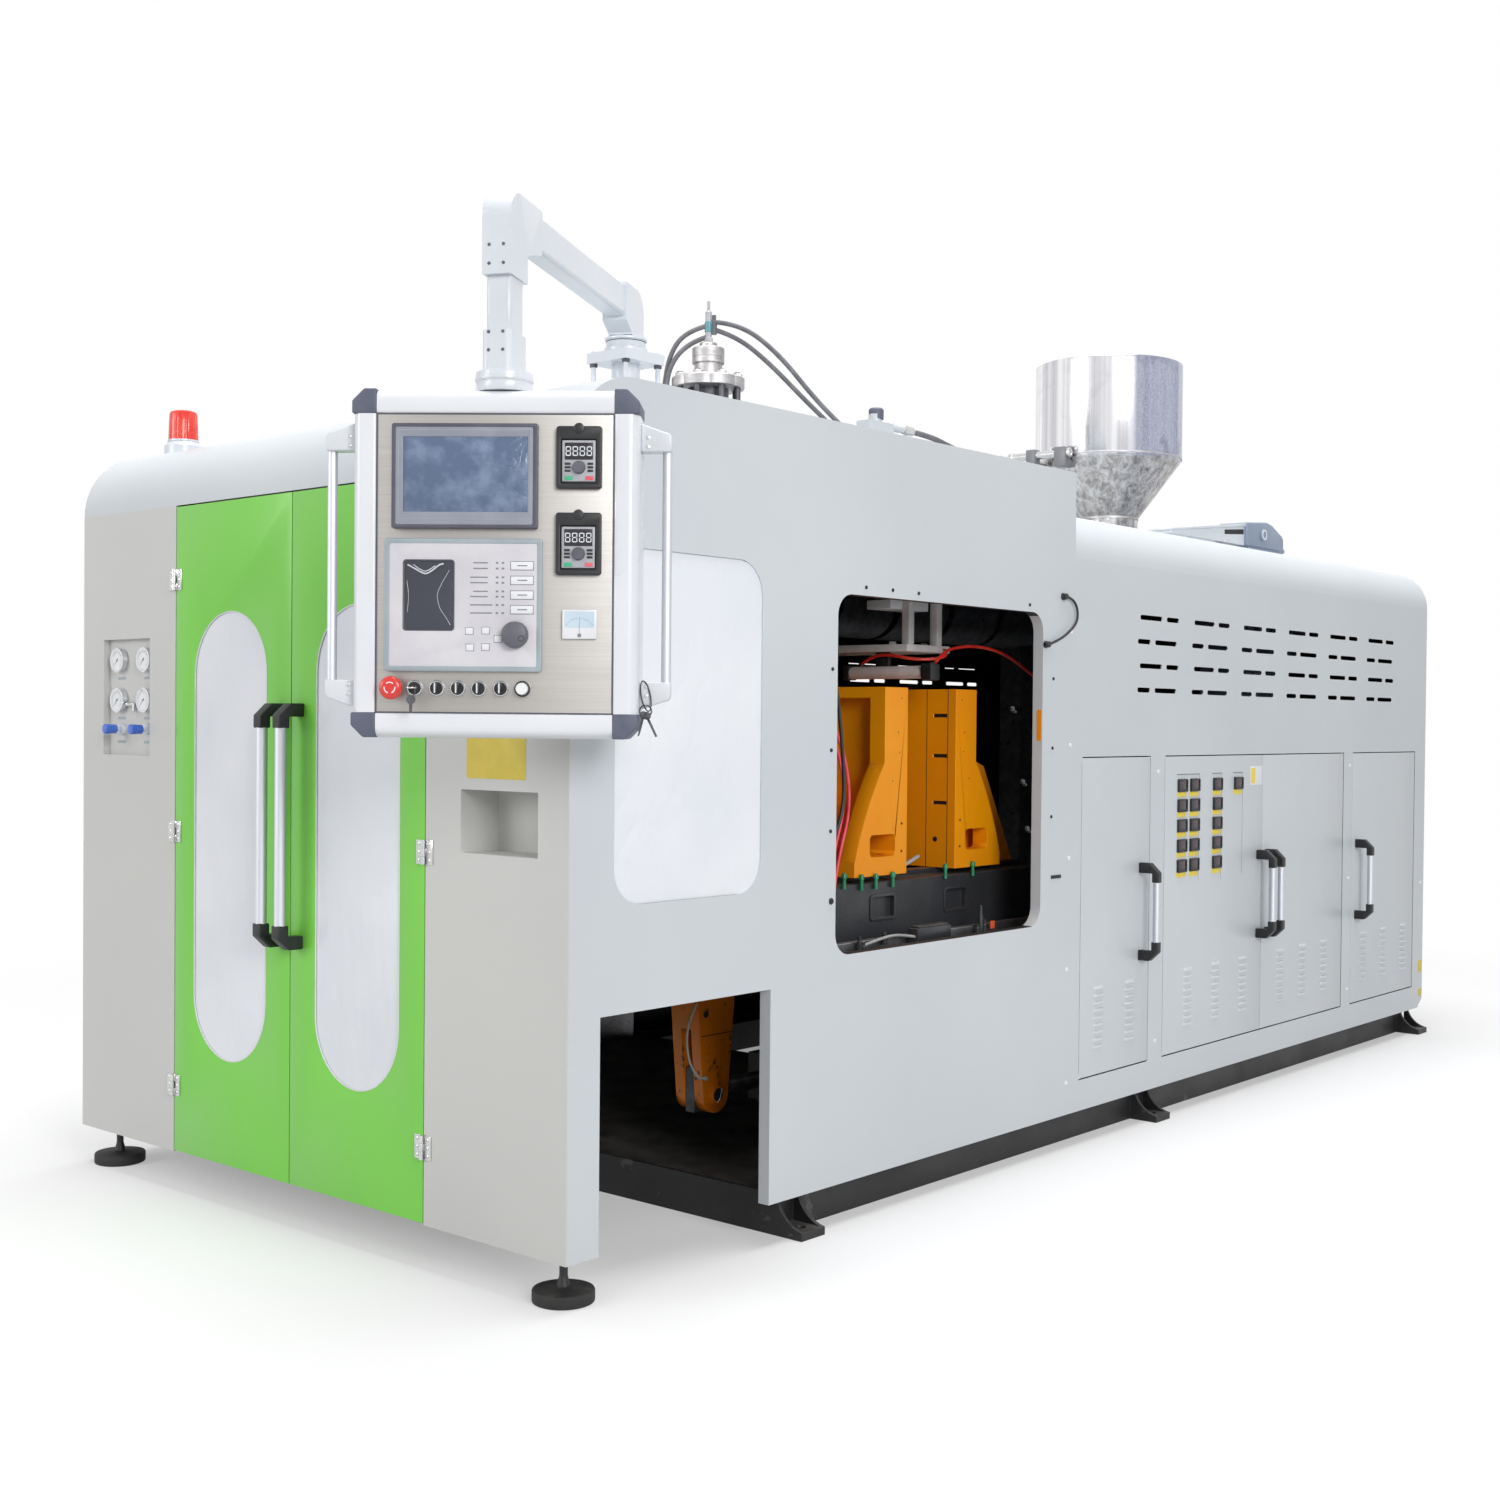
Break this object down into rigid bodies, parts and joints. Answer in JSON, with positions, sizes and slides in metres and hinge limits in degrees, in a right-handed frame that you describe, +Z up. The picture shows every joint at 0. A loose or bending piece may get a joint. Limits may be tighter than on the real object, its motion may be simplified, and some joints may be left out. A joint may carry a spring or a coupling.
{
  "type": "blow moulding machine",
  "caption": "Extrusion blow moulding machine: sheet-metal body, shuttle clamp, die head, hopper, and a control panel on a swinging arm.",
  "frame": {"origin": "on the floor, at the middle of the four outer anchor holes", "axes": "+Z up, the doors that the operator faces on -Y, the guard window on +X; +Y runs along the machine to the hopper and the rear cabinet"},
  "size_m": [1.9491, 4.5236, 2.373],
  "materials": {
    "body_grey": "light grey powder coat, semi-matt",
    "door_green": "bright green powder coat, semi-matt",
    "base_black": "black enamel, semi-gloss",
    "foot_rubber": "matt, dusty",
    "film_white": "clear sheet under its plain white protective film",
    "clamp_yellow": "orange-yellow enamel, glossy",
    "dark_casting": "dark primer, oily",
    "motor_grey": "grey enamel",
    "brushed_steel": "fine vertical grain",
    "ground_steel": "ground and oiled",
    "polished_steel": "polished sheet with handling marks",
    "bright_zinc": "bright plated",
    "aluminium": "satin anodised",
    "light_enamel": "light grey enamel, smooth",
    "black_plastic": "moulded, fine grain",
    "controller_grey": "pale grey moulding",
    "knob_grey": "moulded",
    "screen_grey": "grey frame round a dark screen",
    "signal_red": "glossy moulding",
    "beacon_red": "translucent ribbed lens",
    "blue_plastic": "glossy moulding",
    "gauge_face": "white dial in a plated ring",
    "hose_black": "matt hose",
    "hose_red": "smooth tube"
  },
  "bodies": {
    "machine_body": {"base_frame": "base_black", "levelling_feet": "foot_rubber", "front_pillar_left": "body_grey", "front_pillar_right": "body_grey", "side_panel_right": "body_grey", "side_panel_left": "body_grey", "side_pane": "film_white", "main_roof": "body_grey", "cabinet_roof": "body_grey", "cabinet_vent_side": "body_grey", "cabinet_door_frame": "body_grey", "cabinet_side_left": "body_grey", "cabinet_rear": "body_grey", "pressure_gauges": "gauge_face", "hinge_leaves": "bright_zinc", "beacon_base": "light_enamel", "beacon_lens": "beacon_red", "arm_pedestal": "light_enamel", "shuttle_guides": "ground_steel", "blow_frame": "aluminium", "die_head": "brushed_steel", "extruder_barrel": "brushed_steel", "gearbox": "base_black", "drive_motor": "motor_grey", "hopper": "polished_steel", "roof_hoses": "hose_black", "window_cables": "hose_red"},
    "door_left": {"door_left": "door_green", "door_left_pane": "film_white"},
    "door_right": {"door_right": "door_green", "door_right_pane": "film_white"},
    "side_door_a": {"side_door_a": "body_grey"},
    "side_door_b1": {"side_door_b1": "body_grey", "temperature_controllers": "black_plastic"},
    "side_door_b2": {"side_door_b2": "body_grey"},
    "side_door_c": {"side_door_c": "body_grey"},
    "regulator_knob_left": {"regulator_knob_left": "blue_plastic"},
    "regulator_knob_right": {"regulator_knob_right": "blue_plastic"},
    "suspension_arm": {"suspension_arm": "light_enamel"},
    "control_panel": {"panel_housing": "light_enamel", "panel_frame": "aluminium", "panel_faceplate": "brushed_steel", "grab_handles": "aluminium", "hmi_screen": "screen_grey", "parison_controller": "controller_grey", "drive_keypads": "black_plastic"},
    "emergency_button": {"emergency_button": "signal_red"},
    "key_switch": {"key_switch": "bright_zinc"},
    "selector_switch_1": {"selector_switch_1": "black_plastic"},
    "selector_switch_2": {"selector_switch_2": "black_plastic"},
    "selector_switch_3": {"selector_switch_3": "black_plastic"},
    "selector_switch_4": {"selector_switch_4": "black_plastic"},
    "speed_knob": {"speed_knob": "black_plastic"},
    "controller_knob": {"controller_knob": "knob_grey"},
    "carriage": {"carriage": "dark_casting", "clamp_cylinder": "dark_casting"},
    "platen_front": {"platen_front": "clamp_yellow"},
    "platen_rear": {"platen_rear": "clamp_yellow"},
    "clamp_lever": {"clamp_lever": "clamp_yellow"},
    "cylinder_rod": {"cylinder_rod": "ground_steel"}
  },
  "joints": [
    {"name": "door_left_hinge", "type": "hinge", "parent": "machine_body", "child": "door_left", "pos_m": [-0.445, -2.4138, 0.82], "axis": [0, 0, 1], "range_deg": [-110, 0]},
    {"name": "door_right_hinge", "type": "hinge", "parent": "machine_body", "child": "door_right", "pos_m": [0.445, -2.4138, 0.82], "axis": [0, 0, 1], "range_deg": [0, 90]},
    {"name": "side_door_a_hinge", "type": "hinge", "parent": "machine_body", "child": "side_door_a", "pos_m": [0.844, -0.605, 0.5835], "axis": [0, 0, 1], "range_deg": [-100, 0]},
    {"name": "side_door_b1_hinge", "type": "hinge", "parent": "machine_body", "child": "side_door_b1", "pos_m": [0.844, -0.1625, 0.5835], "axis": [0, 0, 1], "range_deg": [-100, 0]},
    {"name": "side_door_b2_hinge", "type": "hinge", "parent": "machine_body", "child": "side_door_b2", "pos_m": [0.844, 1.0335, 0.5835], "axis": [0, 0, 1], "range_deg": [0, 100]},
    {"name": "side_door_c_hinge", "type": "hinge", "parent": "machine_body", "child": "side_door_c", "pos_m": [0.844, 1.6505, 0.5835], "axis": [0, 0, 1], "range_deg": [0, 100]},
    {"name": "regulator_left_turn", "type": "hinge", "parent": "machine_body", "child": "regulator_knob_left", "pos_m": [-0.695, -2.4285, 1.05], "axis": [0, 1, 0], "continuous": true},
    {"name": "regulator_right_turn", "type": "hinge", "parent": "machine_body", "child": "regulator_knob_right", "pos_m": [-0.582, -2.4285, 1.05], "axis": [0, 1, 0], "continuous": true},
    {"name": "arm_swing", "type": "hinge", "parent": "machine_body", "child": "suspension_arm", "pos_m": [0.505, -1.9265, 1.86], "axis": [0, 0, 1], "range_deg": [-20, 60]},
    {"name": "panel_turn", "type": "hinge", "parent": "suspension_arm", "child": "control_panel", "pos_m": [0.8376, -2.558, 1.66], "axis": [0, 0, 1], "range_deg": [-39, 20]},
    {"name": "emergency_press", "type": "slide", "parent": "control_panel", "child": "emergency_button", "axis": [-0.6293, 0.7771, 0], "range_m": [0, 0.004], "stiffness_N_per_m": 600, "springref_m": -0.003},
    {"name": "key_turn", "type": "hinge", "parent": "control_panel", "child": "key_switch", "pos_m": [0.75871, -2.68622, 1.132], "axis": [-0.6293, 0.7771, 0], "range_deg": [-60, 60]},
    {"name": "selector_1_turn", "type": "hinge", "parent": "control_panel", "child": "selector_switch_1", "pos_m": [0.78817, -2.66237, 1.132], "axis": [-0.6293, 0.7771, 0], "range_deg": [-45, 45]},
    {"name": "selector_2_turn", "type": "hinge", "parent": "control_panel", "child": "selector_switch_2", "pos_m": [0.81638, -2.63952, 1.132], "axis": [-0.6293, 0.7771, 0], "range_deg": [-45, 45]},
    {"name": "selector_3_turn", "type": "hinge", "parent": "control_panel", "child": "selector_switch_3", "pos_m": [0.84443, -2.61681, 1.132], "axis": [-0.6293, 0.7771, 0], "range_deg": [-45, 45]},
    {"name": "selector_4_turn", "type": "hinge", "parent": "control_panel", "child": "selector_switch_4", "pos_m": [0.87388, -2.59296, 1.132], "axis": [-0.6293, 0.7771, 0], "range_deg": [-45, 45]},
    {"name": "speed_knob_turn", "type": "hinge", "parent": "control_panel", "child": "speed_knob", "pos_m": [0.90334, -2.5691, 1.132], "axis": [-0.6293, 0.7771, 0], "range_deg": [-135, 135]},
    {"name": "controller_knob_turn", "type": "hinge", "parent": "control_panel", "child": "controller_knob", "pos_m": [0.89362, -2.57697, 1.224], "axis": [-0.6293, 0.7771, 0], "continuous": true},
    {"name": "carriage_shuttle", "type": "slide", "parent": "machine_body", "child": "carriage", "axis": [1, 0, 0], "range_m": [-0.553, 0]},
    {"name": "platen_front_slide", "type": "slide", "parent": "carriage", "child": "platen_front", "axis": [0, -1, 0], "range_m": [0, 0.09]},
    {"name": "platen_rear_slide", "type": "slide", "parent": "carriage", "child": "platen_rear", "axis": [0, 1, 0], "range_m": [0, 0.09]},
    {"name": "clamp_lever_swing", "type": "hinge", "parent": "carriage", "child": "clamp_lever", "pos_m": [0.465, -1.6225, 0.6], "axis": [1, 0, 0], "range_deg": [0, 17.5]},
    {"name": "cylinder_rod_stroke", "type": "slide", "parent": "carriage", "child": "cylinder_rod", "axis": [0, 1, 0], "range_m": [0, 0.109]}
  ],
  "couplings": [
    {"joint": "platen_rear_slide", "follows": "platen_front_slide", "ratio": 1},
    {"joint": "clamp_lever_swing", "follows": "platen_front_slide", "rad_per_m": 3.386},
    {"joint": "cylinder_rod_stroke", "follows": "platen_front_slide", "ratio": 1.21}
  ]
}
